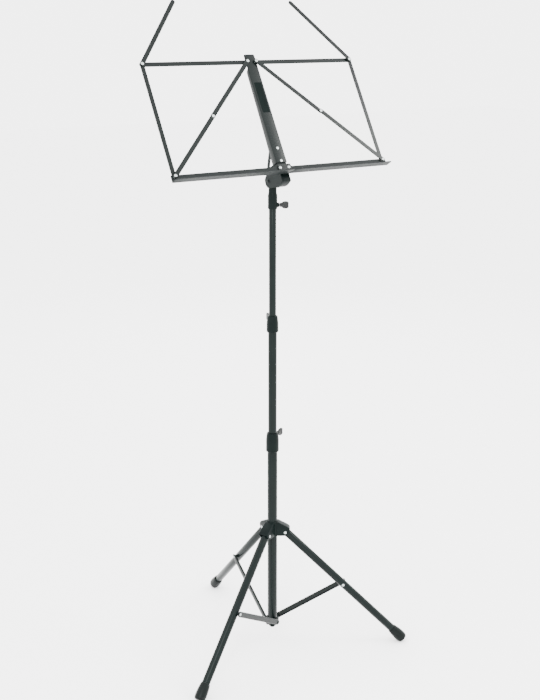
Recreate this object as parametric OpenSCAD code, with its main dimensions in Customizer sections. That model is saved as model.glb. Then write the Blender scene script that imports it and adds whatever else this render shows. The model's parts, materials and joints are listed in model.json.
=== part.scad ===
// Folding music stand: a desk of hinged flat bars on a three section mast and a folding tripod.
// Millimetres, +Z up, origin at floor level under the middle of the stand's outline.
// The reader stands on the -Y side, and the desk leans back towards +Y.

/* [Position] */
// Mast axis, to the reader's right of the middle of the whole stand
mast_x = 8.4; // [0:0.1:20]
// Mast axis, behind the middle of the whole stand (negative is nearer the reader)
mast_y = -62.6; // [-80:0.1:0]

/* [Mast] */
// Outside diameter of the lower tube
lower_d = 21; // [19:0.5:24]
// Outside diameter of the middle tube
middle_d = 18; // [16:0.5:20]
// Outside diameter of the upper tube
upper_d = 15; // [13:0.5:17]
// Wall of the mast tubes
tube_wall = 1.2; // [0.8:0.1:1.3]
// Height of the lower end of the lower tube
lower_z0 = 57.2; // [50:0.5:70]
// Height of the upper end of the lower tube
lower_z1 = 470; // [440:1:480]
// Height of the lower end of the middle tube
middle_z0 = 320; // [300:1:360]
// Height of the upper end of the middle tube
middle_z1 = 724; // [700:1:724]
// Height of the lower end of the upper tube
upper_z0 = 565; // [550:1:600]
// Height of the upper end of the upper tube
upper_z1 = 985; // [970:1:990]

/* [Height clamps] */
// Length of the lower clamp sleeve
lower_clamp_h = 42; // [38:1:50]
// Length of the upper clamp sleeve
upper_clamp_h = 35; // [32:1:45]
// Wall of the clamp sleeve over the tube
clamp_wall = 3.3; // [1.5:0.1:4]
// Direction the lower thumb screw points, degrees from +X
lower_screw_az = 20; // [-180:1:180]
// Direction the upper thumb screw points, degrees from +X
upper_screw_az = 78; // [-180:1:180]
// Direction the socket thumb screw points, degrees from +X
socket_screw_az = -33; // [-180:1:180]

/* [Tripod] */
// Direction of the first leg, degrees from +X
first_leg_az = -33.9; // [-60:0.1:0]
// Radius of the circle of leg rivets
hub_r = 27.7; // [25:0.1:32]
// Height of the leg rivets
hub_z = 262; // [240:1:290]
// Lean of the legs away from vertical
leg_tilt = 45.46; // [35:0.01:55]
// Diameter of the leg tubes
leg_d = 17; // [15:0.5:17]
// Distance from the leg rivet to the centre of the foot end
leg_len = 360.7; // [330:0.1:380]
// Distance from the leg rivet to the strut rivet
strut_at = 177.5; // [160:0.1:200]
// Height of the strut rivets at the base star
star_z = 46; // [40:0.5:55]
// Depth of the strut channel
strut_h = 12; // [11.5:0.5:15]

/* [Desk] */
// Height of the ledge rivets
desk_z = 1042.7; // [1000:0.1:1100]
// Distance of the ledge rivets in front of the mast axis
desk_y = 38.3; // [30:0.1:45]
// Lean of the desk back from vertical
desk_lean = 30.68; // [10:0.01:45]
// Distance between the ledge rivets and the top rivets
desk_h = 230; // [200:1:260]
// Distance between a centre rivet and a corner rivet
desk_w = 231; // [200:1:260]
// Distance of the centre rivets from the middle line
centre_u = 10; // [9:0.5:12]
// Width of the flat bars
bar_w = 9; // [7:0.5:12]
// Thickness of the flat bars
bar_t = 1.6; // [1.2:0.1:1.7]
// Length of a page arm between its rivet and its tip
arm_len = 167; // [120:1:180]
// Angle of a page arm inward from the desk's upward direction
arm_angle = 38.4; // [0:0.1:60]
// Depth of the ledge shelf in front of its web
shelf_d = 20; // [15:1:30]

/* [Hidden] */
$fn = 48;
run_gap = 0.05;
pitch = 2;
rivet_d = 4;
head_d = 6.2;
head_t = 1.4;
spacer_d = 6;
face_gap = 0.15;

leg_az = [first_leg_az, first_leg_az + 120, first_leg_az + 240];
star_face = 10.2;
star_h = 19;
strut_y0 = 10.8;
strut_y1 = 14.7;
strut_wall = 1.3;
strut_rivet_d = 4.4;
joint_x = hub_r + strut_at * sin(leg_tilt);
joint_z = hub_z - strut_at * cos(leg_tilt);
strut_len = norm([joint_x, joint_z - star_z]);
strut_rise = atan2(joint_z - star_z, joint_x);
lug_wall = 1.5;
lug_half = 10.6;
lug_x0 = 6.5;
collar_r = 12.9;
collar_z0 = 252;
collar_z1 = 287;
hub_rivet_d = 4.4;

middle_wall = 1.1;
lower_clamp_z0 = 444.5;
upper_clamp_z0 = 705;
stud_d = 5;
boss_d = 9.4;
lower_screw_z = 480.5;
upper_screw_z = 731.5;
socket_screw_z = 967;
bush_h = 14;
lip = 2;
shoulder_h = 16;
shoulder_in = 1.8;

socket_r = 9.6;
socket_z0 = 958.7;
socket_z1 = 990.5;
tilt_z = 1015;
eye_r = 10.5;
eye_half = 8.4;
cheek_u = 8.7;
cheek_t = 1.5;
bolt_d = 6;
bolt_n = -cos(desk_lean) * desk_y + sin(desk_lean) * (tilt_z - desk_z);
bolt_v = sin(desk_lean) * desk_y + cos(desk_lean) * (tilt_z - desk_z);

plate_half = 12.5;
plate_wall = 1.2;
plate_v0 = 13;
plate_v1 = 246;
flange_v1 = 215;
corner_u = centre_u + desk_w;
ledge_end = corner_u + 8.3;
ledge_top = 3;
shelf_v = -11;
shelf_t = 1.5;
mid_u = centre_u + desk_w / 2;
mid_v = desk_h / 2;
bracket_rivet_v = [16.5, 43.1];

paint = [0.17, 0.21, 0.20];
zinc = [0.86, 0.89, 0.88];
plastic = [0.25, 0.27, 0.27];
rubber = [0.08, 0.08, 0.08];
film = [0.10, 0.14, 0.13];

// ---- shared shapes ----

// Every sub-part is drawn with the mast axis as its Z axis, then moved into place.
module on_mast() {
    translate([mast_x, mast_y, 0]) children();
}

module ring(d_out, d_in, z0, z1) {
    translate([0, 0, z0])
        difference() {
            cylinder(d = d_out, h = z1 - z0);
            translate([0, 0, -1]) cylinder(d = d_in, h = z1 - z0 + 2);
        }
}

// Sleeve of revolution with chamfered ends, before it is bored.
module chamfered(r, z0, z1, c) {
    rotate_extrude()
        polygon([[0, z0], [r - c, z0], [r, z0 + c], [r, z1 - c], [r - c, z1], [0, z1]]);
}

// Places children so that their +Z runs outward along a thumb screw's axis.
module screw_axis(az, z) {
    rotate([0, 0, az]) translate([0, 0, z]) rotate([0, 90, 0]) children();
}

// Pressed sleeve that narrows towards its mouth above the screw.
module clamp_sleeve(tube_d, inner_d, z0, len, tube_end, az, screw_z) {
    r = tube_d / 2 + clamp_wall;
    z1 = z0 + len;
    mouth_r = r - shoulder_in;
    difference() {
        union() {
            rotate_extrude()
                polygon([[0, z0], [r - lip, z0], [r, z0 + lip], [r, z1 - shoulder_h],
                    [mouth_r, z1 - lip / 2], [mouth_r - lip / 2, z1], [0, z1]]);
            screw_axis(az, screw_z) cylinder(d = boss_d, h = r + lip);
        }
        translate([0, 0, z0 - 1]) cylinder(d = tube_d, h = tube_end + bush_h - z0 + 1);
        translate([0, 0, z0]) cylinder(d = inner_d + 1, h = len + 1);
        screw_axis(az, screw_z) cylinder(d = stud_d + 2 * run_gap, h = r + 3 * lip);
    }
}

module clamp_bush(tube_d, inner_d, z0, az, screw_z) {
    difference() {
        ring(tube_d, inner_d + 2 * run_gap, z0, z0 + bush_h);
        screw_axis(az, screw_z) cylinder(d = stud_d + 2 * run_gap, h = tube_d);
    }
}

module thumb_stud(az, z, tip_r, end_r) {
    screw_axis(az, z) translate([0, 0, tip_r]) cylinder(d = stud_d, h = end_r - tip_r);
}

// A rounded paddle across a round hub, moulded over the end of the stud.
module thumb_wings(az, z, hub_r0, roll) {
    hub_len = 8;
    screw_axis(az, z)
        difference() {
            union() {
                translate([0, 0, hub_r0]) cylinder(r = 4.3, h = hub_len);
                rotate([0, 0, roll]) rotate([90, 0, 0])
                    linear_extrude(height = 3.8, center = true)
                        hull() {
                            translate([0, hub_r0 + 4.4]) circle(r = 3, $fn = 32);
                            for (s = [-1, 1]) {
                                translate([s * 4.1, hub_r0 + 9.6]) circle(r = 3.6, $fn = 32);
                                translate([s * 4.2, hub_r0 + 14.8]) circle(r = 3.8, $fn = 32);
                            }
                        }
            }
            cylinder(d = stud_d, h = hub_r0 + hub_len - 1);
        }
}

// ---- mast ----

module lower_tube() {
    color(paint) on_mast() ring(lower_d, lower_d - 2 * tube_wall, lower_z0, lower_z1);
}

module base_star() {
    corner_r = 15.5;
    plug_h = 16;
    color(paint) on_mast()
        union() {
            intersection() {
                translate([0, 0, lower_z0 - star_h]) cylinder(r = corner_r, h = star_h);
                for_all_faces() translate([-50, -50, 0]) cube([100, 50 + star_face, 100]);
            }
            translate([0, 0, lower_z0]) cylinder(d = lower_d - 2 * tube_wall, h = plug_h);
        }
}

// Keeps the volume common to the three directions of the star's faces.
module for_all_faces() {
    intersection() {
        rotate([0, 0, leg_az[0]]) children();
        rotate([0, 0, leg_az[1]]) children();
        rotate([0, 0, leg_az[2]]) children();
    }
}

module lower_clamp() {
    color(paint) on_mast()
        clamp_sleeve(lower_d, middle_d, lower_clamp_z0, lower_clamp_h, lower_z1,
            lower_screw_az, lower_screw_z);
}

module lower_clamp_bush() {
    color(plastic) on_mast() clamp_bush(lower_d, middle_d, lower_z1, lower_screw_az, lower_screw_z);
}

module lower_stud() {
    color(zinc) on_mast() thumb_stud(lower_screw_az, lower_screw_z, middle_d / 2 + 0.35, 22);
}

module lower_wings() {
    color(plastic) on_mast() thumb_wings(lower_screw_az, lower_screw_z, 16.4, 0);
}

module middle_tube() {
    color(paint) on_mast() ring(middle_d, middle_d - 2 * middle_wall, middle_z0, middle_z1);
}

module upper_clamp() {
    color(paint) on_mast()
        clamp_sleeve(middle_d, upper_d, upper_clamp_z0, upper_clamp_h, middle_z1,
            upper_screw_az, upper_screw_z);
}

module upper_clamp_bush() {
    color(plastic) on_mast() clamp_bush(middle_d, upper_d, middle_z1, upper_screw_az, upper_screw_z);
}

module upper_stud() {
    color(zinc) on_mast() thumb_stud(upper_screw_az, upper_screw_z, upper_d / 2 + 0.35, 20.5);
}

module upper_wings() {
    color(plastic) on_mast() thumb_wings(upper_screw_az, upper_screw_z, 14.9, 0);
}

module upper_tube() {
    color(paint) on_mast() ring(upper_d, upper_d - 2 * tube_wall, upper_z0, upper_z1);
}

// ---- tripod ----

module tripod_collar() {
    color(paint) on_mast()
        difference() {
            chamfered(collar_r, collar_z0, collar_z1, 1.5);
            translate([0, 0, collar_z0 - 1]) cylinder(d = lower_d + 4 * run_gap, h = 40);
        }
}

// Side view of a leg lug in the leg's radial plane: a pressed cap that slopes down over the leg.
module lug2d() {
    polygon([[lug_x0, 285.3], [15, 284.2], [19, 282], [27.7, 277.5], [33.5, 274], [37, 271.4],
        [38.1, 268.8], [38.1, 264.2], [34.6, 260], [31.2, 256.6], [27.7, 254.6], [lug_x0, 254.2]]);
}

// Room under the top of a lug, open below, with an end wall that stops just above the leg.
module lug_room2d() {
    polygon([[lug_x0, 283.8], [15, 282.7], [19, 280.5], [27.7, 276], [33.5, 272.5], [35.8, 270.8],
        [36.5, 268.6], [36.5, 265.8], [40, 262.3], [40, 250], [lug_x0, 250]]);
}

module collar_lugs() {
    color(paint) on_mast()
        for (az = leg_az)
            rotate([0, 0, az])
                difference() {
                    rotate([90, 0, 0])
                        linear_extrude(height = 2 * lug_half, center = true) lug2d();
                    rotate([90, 0, 0])
                        linear_extrude(height = 2 * (lug_half - lug_wall), center = true)
                            lug_room2d();
                    translate([0, 0, collar_z0 - 1]) cylinder(r = collar_r, h = 40);
                    hub_pin(hub_rivet_d, 2 * lug_half + 2);
                }
}

module hub_pin(d, len) {
    translate([hub_r, 0, hub_z]) rotate([90, 0, 0]) cylinder(d = d, h = len, center = true);
}

module hub_rivets() {
    color(zinc) on_mast()
        for (az = leg_az)
            rotate([0, 0, az]) {
                hub_pin(hub_rivet_d, 2 * lug_half + 1);
                for (s = [-1, 1])
                    translate([hub_r, s * (lug_half + head_t / 2), hub_z]) rotate([90, 0, 0])
                        cylinder(d = head_d, h = head_t, center = true);
            }
}

// Leg i's own frame: origin on the hub rivet, the tube running along -Z, the rivets along Y.
module leg_frame(i) {
    rotate([0, 0, leg_az[i]]) translate([hub_r, 0, hub_z]) rotate([0, -leg_tilt, 0]) children();
}

module leg(i) {
    top = 7.4;
    end = leg_len - 1;
    bore_d = leg_d - 2 * tube_wall;
    color(paint) on_mast()
        leg_frame(i)
            difference() {
                translate([0, 0, -end]) cylinder(d = leg_d, h = end + top);
                translate([0, 0, -end - 1]) cylinder(d = bore_d, h = end + top + 2);
                rotate([90, 0, 0]) cylinder(d = hub_rivet_d + 2 * run_gap, h = 20, center = true);
                translate([0, 0, -strut_at]) rotate([90, 0, 0])
                    cylinder(d = strut_rivet_d, h = 20, center = true);
            }
}

module foot(i) {
    rim = leg_len - 30;
    bore_r = leg_d / 2;
    cap = [[bore_r, -rim], [9.7, -rim], [10.5, -rim - 3], [11.9, -rim - 17], [12, -rim - 24],
        [11.7, -rim - 29], [11, -rim - 33], [9.6, -rim - 35.2], [7.6, -rim - 35.9],
        [0, -rim - 35.9], [0, -leg_len + 1], [bore_r, -leg_len + 1]];
    color(rubber) on_mast()
        intersection() {
            leg_frame(i) rotate_extrude() polygon(cap);
            translate([-500, -500, 0]) cube([1000, 1000, 200]);
        }
}

module strut_rivet(i) {
    seat = 8;
    color(zinc) on_mast()
        leg_frame(i) translate([0, 0, -strut_at]) {
            along_y(-seat - head_t, strut_y1 + face_gap + head_t) circle(d = strut_rivet_d);
            along_y(-seat - head_t, -seat + 0.1) circle(d = head_d);
            along_y(seat, strut_y1 - strut_wall - face_gap) circle(d = 8.4);
            along_y(strut_y1 + face_gap, strut_y1 + face_gap + head_t) circle(d = head_d);
        }
}

// Extrudes a shape from y0 to y1 along +Y, its own x and y lying along X and Z.
module along_y(y0, y1) {
    translate([0, y1, 0]) rotate([90, 0, 0]) linear_extrude(height = y1 - y0) children();
}

// Strut i's own frame: origin on the mast axis at the star, +X along the strut.
module strut_frame(i) {
    rotate([0, 0, leg_az[i]]) translate([0, 0, star_z]) rotate([0, -strut_rise, 0]) children();
}

module strut(i) {
    tip = strut_h / 2;
    color(paint) on_mast()
        strut_frame(i)
            difference() {
                union() {
                    along_y(strut_y1 - strut_wall, strut_y1)
                        bar2d([0, 0], [strut_len, 0], strut_h);
                    for (s = [-1, 1])
                        along_y(strut_y0, strut_y1 - strut_wall / 2)
                            translate([0, s * (tip - strut_wall / 2) - strut_wall / 2])
                                square([strut_len, strut_wall]);
                }
                along_y(0, 20) circle(d = strut_rivet_d);
                translate([strut_len, 0, 0])
                    along_y(0, 20) circle(d = strut_rivet_d + 2 * run_gap);
            }
}

module star_rivet(i) {
    color(zinc) on_mast()
        strut_frame(i) {
            along_y(strut_y0, strut_y1) circle(d = strut_rivet_d);
            along_y(strut_y1, strut_y1 + head_t) circle(d = head_d);
        }
}

// ---- desk support ----

module desk_socket() {
    neck_d = 16.4;
    bore_end = upper_z1 + 0.3;
    color(paint) on_mast()
        difference() {
            union() {
                chamfered(socket_r, socket_z0, socket_z1, 1.8);
                screw_axis(socket_screw_az, socket_screw_z) cylinder(d = boss_d, h = 13.2);
                translate([0, 0, socket_z1 - 1]) cylinder(d = neck_d, h = tilt_z - socket_z1);
                translate([0, 0, tilt_z]) rotate([0, 90, 0])
                    cylinder(r = eye_r, h = 2 * eye_half, center = true);
            }
            translate([0, 0, socket_z0 - 1])
                cylinder(d = upper_d + 2 * run_gap, h = bore_end - socket_z0 + 1);
            screw_axis(socket_screw_az, socket_screw_z)
                cylinder(d = stud_d + 2 * run_gap, h = 20);
            translate([0, 0, tilt_z]) rotate([0, 90, 0])
                cylinder(d = bolt_d, h = 40, center = true);
        }
}

module socket_stud() {
    color(zinc) on_mast() thumb_stud(socket_screw_az, socket_screw_z, upper_d / 2 + 0.35, 19.6);
}

module socket_wings() {
    color(plastic) on_mast() thumb_wings(socket_screw_az, socket_screw_z, 13.9, 20);
}

module tilt_bolt() {
    head_x = -cheek_u - cheek_t - 0.2;
    color(zinc) on_mast()
        translate([0, 0, tilt_z]) rotate([0, 90, 0]) {
            translate([0, 0, head_x]) cylinder(d = bolt_d, h = 16.5 - head_x);
            translate([0, 0, head_x - 2]) cylinder(d1 = 6.4, d2 = 8.4, h = 2);
        }
}

module tilt_nut() {
    color(zinc) on_mast()
        translate([cheek_u + cheek_t + 0.2, 0, tilt_z]) rotate([0, 90, 0])
            difference() {
                cylinder(d = 11.5, h = 5, $fn = 6);
                translate([0, 0, -1]) cylinder(d = bolt_d, h = 7);
            }
}

// ---- desk ----

// Desk frame: X to the reader's right, Y up the desk, Z out of its face.
module desk_frame() {
    translate([0, -desk_y, desk_z]) rotate([90 - desk_lean, 0, 0]) children();
}

module layer(k) {
    translate([0, 0, pitch * k]) linear_extrude(height = bar_t) children();
}

module slab(n0, n1) {
    translate([0, 0, n0]) linear_extrude(height = n1 - n0) children();
}

// Extrudes a shape drawn in (n, v) across the desk frame, centred on u.
module across(u, t) {
    translate([u, 0, 0]) rotate([0, -90, 0]) linear_extrude(height = t, center = true) children();
}

module bar2d(p, q, w) {
    d = q - p;
    translate(p) rotate(atan2(d[1], d[0])) {
        translate([0, -w / 2]) square([norm(d), w]);
        circle(d = w);
        translate([norm(d), 0]) circle(d = w);
    }
}

// A flat bar with a hole at each end.
module bar(k, p, q, d_p, d_q) {
    layer(k)
        difference() {
            bar2d(p, q, bar_w);
            translate(p) circle(d = d_p);
            translate(q) circle(d = d_q);
        }
}

module disc(c, d, n0, n1) {
    translate([c[0], c[1], n0]) cylinder(d = d, h = n1 - n0);
}

// The left half of the desk is the mirror image of the right half.
module half(s) {
    desk_frame() mirror([s < 0 ? 1 : 0, 0, 0]) children();
}

top_p = [centre_u, desk_h];
bottom_p = [centre_u, 0];
corner_p = [corner_u, desk_h];
ledge_p = [corner_u, 0];
mid_p = [mid_u, mid_v];
loose_d = rivet_d + 2 * run_gap;

module cheek2d() {
    difference() {
        polygon([[-54.5, 6.5], [-59, 2.2], [-60.2, -5], [-59, -11.5], [-54, -17.5], [-47, -20],
            [-41.5, -21.4], [-27, -27], [-19, -28.6], [-11.6, -28.2], [-1, -25.7], [-0.5, -24],
            [-0.5, 50], [-8, 50], [-15.5, 46], [-36.5, 22.5], [-42, 14], [-49, 8.7]]);
        polygon([[-5, 40], [-13, 36.5], [-30, 17], [-5, 14.5]]);
        translate([bolt_n, bolt_v]) circle(d = bolt_d + 2 * run_gap);
    }
}

// Front and underside of the tilt bracket, folded between its cheeks.
module skirt2d() {
    polygon([[-0.5, -8], [-0.5, -24], [-1, -25.7], [-11.6, -28.2], [-19, -28.6], [-27, -27],
        [-34, -24.3], [-33.5, -22.9], [-26.7, -25.5], [-19, -27.1], [-11.8, -26.7], [-2, -24.4],
        [-2, -8]]);
}

module tilt_bracket() {
    ear_half = 14;
    color(paint) on_mast()
        desk_frame()
            difference() {
                union() {
                    for (s = [-1, 1])
                        across(s * (cheek_u + cheek_t / 2), cheek_t) cheek2d();
                    across(0, 2 * cheek_u + cheek_t) skirt2d();
                    slab(-bar_t, 0)
                        translate([-cheek_u - cheek_t, -9]) square([2 * (cheek_u + cheek_t), 59]);
                    slab(-bar_t, bar_t)
                        difference() {
                            translate([-ear_half, -8.5]) square([2 * ear_half, 16.5]);
                            for (s = [-1, 1])
                                translate([s * ear_half, 8]) rotate(45) square(4, center = true);
                        }
                }
                for (s = [-1, 1]) disc([s * centre_u, 0], rivet_d, -4, 4);
                for (v = bracket_rivet_v) disc([0, v], rivet_d, -4, 4);
            }
}

module centre_plate() {
    corner_r = 2.2;
    flange = [[0, plate_v0], [-14, plate_v0], [-10, 110], [-7, flange_v1 - 4], [-4, flange_v1],
        [0, flange_v1]];
    color(paint) on_mast()
        desk_frame() {
            difference() {
                layer(0) {
                    translate([-plate_half, plate_v0])
                        square([2 * plate_half, plate_v1 - plate_v0 - corner_r]);
                    translate([-plate_half + corner_r, plate_v1 - 2 * corner_r])
                        square([2 * (plate_half - corner_r), 2 * corner_r]);
                    for (s = [-1, 1]) {
                        translate([s * (plate_half - corner_r), plate_v1 - corner_r])
                            circle(r = corner_r);
                        translate([s * centre_u, desk_h]) circle(r = 5.5);
                    }
                }
                for (s = [-1, 1]) disc([s * centre_u, desk_h], rivet_d, -1, 4);
                for (v = bracket_rivet_v) disc([0, v], rivet_d, -1, 4);
            }
            for (s = [-1, 1])
                across(s * (plate_half - plate_wall / 2), plate_wall) polygon(flange);
        }
}

module label_plate() {
    color(film) on_mast()
        desk_frame()
            slab(bar_t, bar_t + 0.25)
                translate([-8.5, 119.7]) square([17, 64.8]);
}

module bracket_rivets() {
    color(zinc) on_mast()
        desk_frame()
            for (v = bracket_rivet_v) {
                disc([0, v], rivet_d, -bar_t, bar_t);
                disc([0, v], 5.4, bar_t, bar_t + 0.3);
                disc([0, v], 5.4, -bar_t - 1.2, -bar_t);
            }
}

module hinge_block() {
    color(paint) on_mast()
        desk_frame()
            difference() {
                layer(2) translate([-15, -6]) square([30, 13.7]);
                for (s = [-1, 1]) disc([s * centre_u, 0], rivet_d, 3, 7);
            }
}

module bottom_rivets() {
    top = 2 * pitch + bar_t;
    color(zinc) on_mast()
        desk_frame()
            for (s = [-1, 1]) {
                disc([s * centre_u, 0], rivet_d, -4, top);
                disc([s * centre_u, 0], head_d, top, top + head_t);
            }
}

module top_rivets() {
    front = 2 * pitch + bar_t + face_gap;
    back = -pitch - face_gap;
    color(zinc) on_mast()
        desk_frame()
            for (s = [-1, 1]) {
                disc([s * centre_u, desk_h], rivet_d, back, front);
                disc([s * centre_u, desk_h], head_d, front, front + head_t);
                disc([s * centre_u, desk_h], head_d, back - head_t, back);
                disc([s * centre_u, desk_h], spacer_d, bar_t, 2 * pitch - face_gap);
            }
}

// Inner end of a shelf: a shallow curve, so the two shelves meet on a slanted line.
function shelf_edge(du) = [for (t = [0 : 0.125 : 1]) [4 + du + 8 * t * t, pitch + shelf_d * t]];

module ledge(s) {
    outer = s * ledge_end;
    split = s > 0 ? 0.8 : 0;
    web_v0 = shelf_v - shelf_t;
    color(paint) on_mast() {
        half(s)
            layer(1)
                difference() {
                    union() {
                        translate([centre_u, web_v0])
                            square([ledge_end - centre_u, ledge_top - web_v0]);
                        translate(bottom_p) circle(r = 8.5);
                        translate(ledge_p) circle(r = 6);
                    }
                    translate(bottom_p) circle(d = loose_d);
                    translate(ledge_p) circle(d = rivet_d);
                }
        desk_frame()
            translate([0, shelf_v, 0]) rotate([90, 0, 0])
                linear_extrude(height = shelf_t)
                    polygon(concat(shelf_edge(split),
                        [[outer, pitch + shelf_d], [outer, pitch]]));
    }
}

module ledge_rivet(s) {
    web_front = pitch + bar_t;
    front = 3 * pitch + bar_t + face_gap;
    color(zinc) on_mast()
        half(s) {
            disc(ledge_p, rivet_d, -face_gap, front);
            disc(ledge_p, head_d, -face_gap - head_t, -face_gap);
            disc(ledge_p, spacer_d, web_front, 3 * pitch - face_gap);
            disc(ledge_p, head_d, front, front + head_t);
        }
}

module top_bar(s) {
    color(paint) on_mast() half(s) bar(-1, top_p, corner_p, loose_d, rivet_d);
}

module corner_rivet(s) {
    front = pitch + bar_t + face_gap;
    color(zinc) on_mast()
        half(s) {
            disc(corner_p, rivet_d, -pitch, front);
            disc(corner_p, head_d, -pitch - head_t, -pitch);
            disc(corner_p, head_d, front, front + head_t);
        }
}

module side_bar(s) {
    color(paint) on_mast() half(s) bar(0, corner_p, ledge_p, loose_d, loose_d);
}

module upper_brace(s) {
    color(paint) on_mast() half(s) bar(2, top_p, mid_p, loose_d, rivet_d);
}

module lower_brace(s) {
    color(paint) on_mast() half(s) bar(3, ledge_p, mid_p, loose_d, rivet_d);
}

module brace_rivet(s) {
    top = 3 * pitch + bar_t;
    color(zinc) on_mast()
        half(s) {
            disc(mid_p, rivet_d, 3 * pitch, top);
            disc(mid_p, head_d, top, top + head_t);
        }
}

module page_arm(s) {
    tip = corner_p + arm_len * [-sin(arm_angle), cos(arm_angle)];
    color(paint) on_mast()
        half(s)
            layer(1)
                difference() {
                    bar2d(corner_p, tip, bar_w);
                    translate(corner_p) circle(d = loose_d);
                }
}

lower_tube();
base_star();
lower_clamp();
lower_clamp_bush();
tripod_collar();
collar_lugs();
hub_rivets();
leg(0);  // leg_right
leg(1);  // leg_back
leg(2);  // leg_left
foot(0);  // foot_right
foot(1);  // foot_back
foot(2);  // foot_left
strut_rivet(0);  // strut_rivet_right
strut_rivet(1);  // strut_rivet_back
strut_rivet(2);  // strut_rivet_left
strut(0);  // strut_right
strut(1);  // strut_back
strut(2);  // strut_left
star_rivet(0);  // star_rivet_right
star_rivet(1);  // star_rivet_back
star_rivet(2);  // star_rivet_left
lower_wings();
lower_stud();
middle_tube();
upper_clamp();
upper_clamp_bush();
upper_wings();
upper_stud();
upper_tube();
desk_socket();
tilt_bolt();
tilt_nut();
socket_wings();
socket_stud();
tilt_bracket();
centre_plate();
label_plate();
bracket_rivets();
hinge_block();
bottom_rivets();
top_rivets();
ledge(-1);  // ledge_left
ledge(1);  // ledge_right
ledge_rivet(-1);  // ledge_rivet_left
ledge_rivet(1);  // ledge_rivet_right
top_bar(-1);  // top_bar_left
top_bar(1);  // top_bar_right
corner_rivet(-1);  // corner_rivet_left
corner_rivet(1);  // corner_rivet_right
side_bar(-1);  // side_bar_left
side_bar(1);  // side_bar_right
upper_brace(-1);  // upper_brace_left
upper_brace(1);  // upper_brace_right
lower_brace(-1);  // lower_brace_left
lower_brace(1);  // lower_brace_right
brace_rivet(-1);  // brace_rivet_left
brace_rivet(1);  // brace_rivet_right
page_arm(-1);  // page_arm_left
page_arm(1);  // page_arm_right
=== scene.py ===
import json
import math
import bmesh
import bpy
from mathutils import Matrix, Vector


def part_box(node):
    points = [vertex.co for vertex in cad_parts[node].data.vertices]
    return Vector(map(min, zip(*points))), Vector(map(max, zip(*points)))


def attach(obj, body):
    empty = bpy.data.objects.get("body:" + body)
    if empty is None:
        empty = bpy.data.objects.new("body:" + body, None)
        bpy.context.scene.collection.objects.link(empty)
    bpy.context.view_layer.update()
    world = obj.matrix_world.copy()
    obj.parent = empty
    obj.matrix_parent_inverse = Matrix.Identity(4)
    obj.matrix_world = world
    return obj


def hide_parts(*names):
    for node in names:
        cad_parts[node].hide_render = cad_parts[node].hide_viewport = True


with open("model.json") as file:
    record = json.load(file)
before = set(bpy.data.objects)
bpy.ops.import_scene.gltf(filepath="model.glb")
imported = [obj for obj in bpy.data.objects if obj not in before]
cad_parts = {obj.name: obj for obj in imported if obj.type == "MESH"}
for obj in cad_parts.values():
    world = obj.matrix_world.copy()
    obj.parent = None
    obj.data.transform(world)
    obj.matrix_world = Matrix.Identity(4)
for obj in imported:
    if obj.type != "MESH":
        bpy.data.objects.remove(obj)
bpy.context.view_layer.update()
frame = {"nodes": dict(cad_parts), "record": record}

MM = 0.001
JOINTS = {j["name"]: j for j in frame["record"]["behaviour"]["joints"]}
BODY_OF = {n: b for b, ns in frame["record"]["behaviour"]["bodies"].items() for n in ns}
SLOT_OF = {s["node"]: s["material_slot"] for s in frame["record"]["subparts"]}
LEGS = ("right", "back", "left")
SIDES = ((-1, "left"), (1, "right"))

# Sizes in millimetres, as on the CAD model.
LOWER_D, MIDDLE_D, UPPER_D = 21, 18, 15
CLAMP_WALL = 3.3
LEG_D = 17
HEAD_R, HEAD_H = 3.1, 1.35
HUB_R, HUB_Z = 27.7, 262
STRUT_AT = 177.5
STRUT_FACE = 14.7
CENTRE_U, CORNER_U, DESK_H = 10, 241, 230
BAR_W = 9.0
BAR_T = 1.6
LAYER = 2
ARM_LEN, ARM_ANGLE = 167, 38.4


# ---- camera, floor and light ----

def set_camera(mast):
    """Looks at the stand from its reader's left, a little above the desk."""
    data = bpy.data.cameras.new("camera")
    cam = bpy.data.objects.new("camera", data)
    bpy.context.scene.collection.objects.link(cam)
    cam.location = Vector((mast.x - 1.2530, mast.y - 1.9157, 1.3195))
    look = Vector((0.5246, 0.8060, -0.2742))
    cam.rotation_euler = look.to_track_quat("-Z", "Y").to_euler()
    data.sensor_fit = "VERTICAL"
    data.angle = math.radians(33.70)
    data.clip_end = 60
    bpy.context.scene.camera = cam


def add_floor():
    size = 12
    mesh = bpy.data.meshes.new("floor")
    mesh.from_pydata([(-size, -size, 0), (size, -size, 0), (size, size, 0), (-size, size, 0)],
                     [], [(0, 1, 2, 3)])
    obj = bpy.data.objects.new("floor", mesh)
    bpy.context.scene.collection.objects.link(obj)
    mat, _, shader = new_material("floor_paper")
    shader.inputs["Base Color"].default_value = (0.97, 0.97, 0.97, 1)
    shader.inputs["Roughness"].default_value = 0.9
    mesh.materials.append(mat)


def area_light(name, place, target, size, watts):
    data = bpy.data.lights.new(name, "AREA")
    data.shape = "RECTANGLE"
    data.size, data.size_y = size
    data.energy = watts
    obj = bpy.data.objects.new(name, data)
    bpy.context.scene.collection.objects.link(obj)
    obj.location = place
    aim = Vector(target) - Vector(place)
    obj.rotation_euler = aim.to_track_quat("-Z", "Y").to_euler()


def add_lights():
    world = bpy.data.worlds.new("studio")
    bpy.context.scene.world = world
    world.use_nodes = True
    back = world.node_tree.nodes["Background"]
    back.inputs["Color"].default_value = (1, 1, 1, 1)
    back.inputs["Strength"].default_value = 5.0
    middle = (0, 0, 0.75)
    area_light("key", (-2.0, -2.3, 2.3), middle, (0.4, 2.0), 75)
    area_light("side", (1.65, -1.15, 2.35), (0.1, 0, 1.15), (0.9, 0.6), 38)
    area_light("rim", (1.6, 2.2, 2.0), middle, (1.0, 1.6), 30)


# ---- materials ----

def new_material(name):
    mat = bpy.data.materials.new(name)
    mat.use_nodes = True
    tree = mat.node_tree
    return mat, tree, tree.nodes["Principled BSDF"]


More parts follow.
